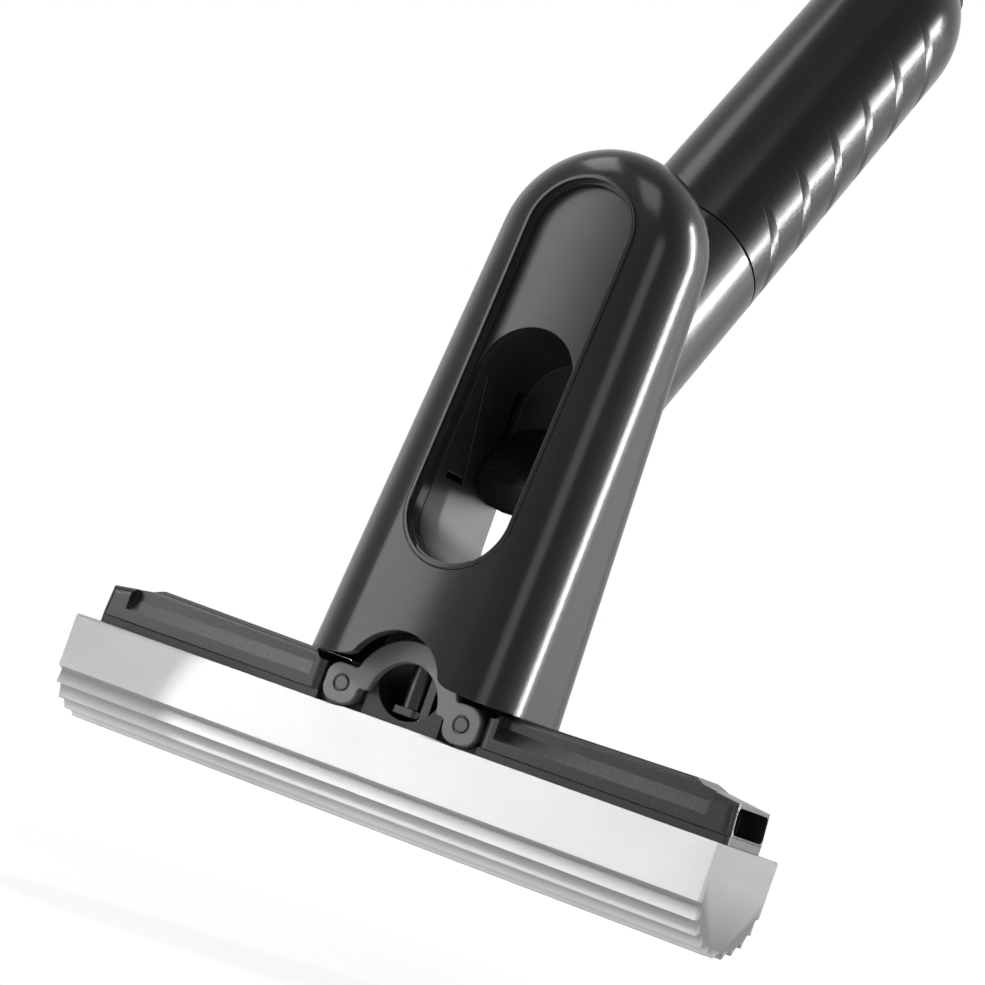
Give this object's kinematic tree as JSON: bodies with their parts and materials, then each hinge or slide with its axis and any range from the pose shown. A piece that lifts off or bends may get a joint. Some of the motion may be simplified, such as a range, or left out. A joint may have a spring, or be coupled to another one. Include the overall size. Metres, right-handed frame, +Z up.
{
  "type": "window cleaning squeegee",
  "caption": "Hand-held window wiper with a ribbed sponge on folding butterfly wings, a finger trigger that squeezes it and an angled grip.",
  "frame": {"origin": "middle of the sponge's working face", "axes": "+X along the sponge, -Y the front with the finger window, +Z up along the housing away from the working face"},
  "size_m": [0.16, 0.1354, 0.2382],
  "materials": {
    "shell": "satin-gloss charcoal plastic",
    "panel": "satin grey plastic",
    "liner": "dark satin plastic",
    "trigger": "matt black plastic",
    "yoke": "satin grey plastic",
    "block": "light grey plastic",
    "wing": "satin dark grey plastic",
    "plate": "grey plastic",
    "pin": "bead-blasted steel",
    "steel": "bright steel",
    "tube": "drawn aluminium",
    "grip": "satin charcoal plastic",
    "rubber": "black rubber",
    "sponge": "white PVA sponge"
  },
  "bodies": {
    "housing": {"front_housing": "shell", "rear_housing": "shell", "housing_screws": "steel", "window_bezel": "shell", "window_panel": "panel", "finger_liner": "liner", "spring_seat": "liner", "return_spring": "steel", "core_tube": "tube", "neck_bush": "liner", "neck_screw": "steel", "seam_ring": "rubber", "grip_sleeve": "grip", "grip_end_cap": "grip"},
    "puller": {"trigger": "trigger", "pull_frame": "trigger", "spring_guide": "steel", "yoke_front": "yoke", "yoke_rear": "yoke", "yoke_block": "block", "link_rod": "steel", "hinge_pin_left": "pin", "hinge_pin_right": "pin"},
    "wing_left": {"wing_cover_left": "wing", "backing_plate_left": "plate", "hinge_bracket_left": "yoke", "wing_screws_left": "steel", "sponge_left": "sponge"},
    "wing_right": {"wing_cover_right": "wing", "backing_plate_right": "plate", "hinge_bracket_right": "yoke", "wing_screws_right": "steel", "sponge_right": "sponge"}
  },
  "joints": [
    {"name": "pull", "type": "slide", "parent": "housing", "child": "puller", "axis": [0, 0, 1], "range_m": [0, 0.0115], "stiffness_N_per_m": 900, "springref_m": -0.012, "deforming": ["return_spring"]},
    {"name": "wing_left_fold", "type": "hinge", "parent": "puller", "child": "wing_left", "pos_m": [-0.015, 0, 0.0263], "axis": [0, -1, 0], "range_deg": [0, 75], "deforming": ["sponge_left"]},
    {"name": "wing_right_fold", "type": "hinge", "parent": "puller", "child": "wing_right", "pos_m": [0.015, 0, 0.0263], "axis": [0, 1, 0], "range_deg": [0, 75], "deforming": ["sponge_right"]}
  ],
  "couplings": [
    {"joint": "wing_left_fold", "follows": "pull", "rad_per_m": 113.83},
    {"joint": "wing_right_fold", "follows": "pull", "rad_per_m": 113.83}
  ]
}
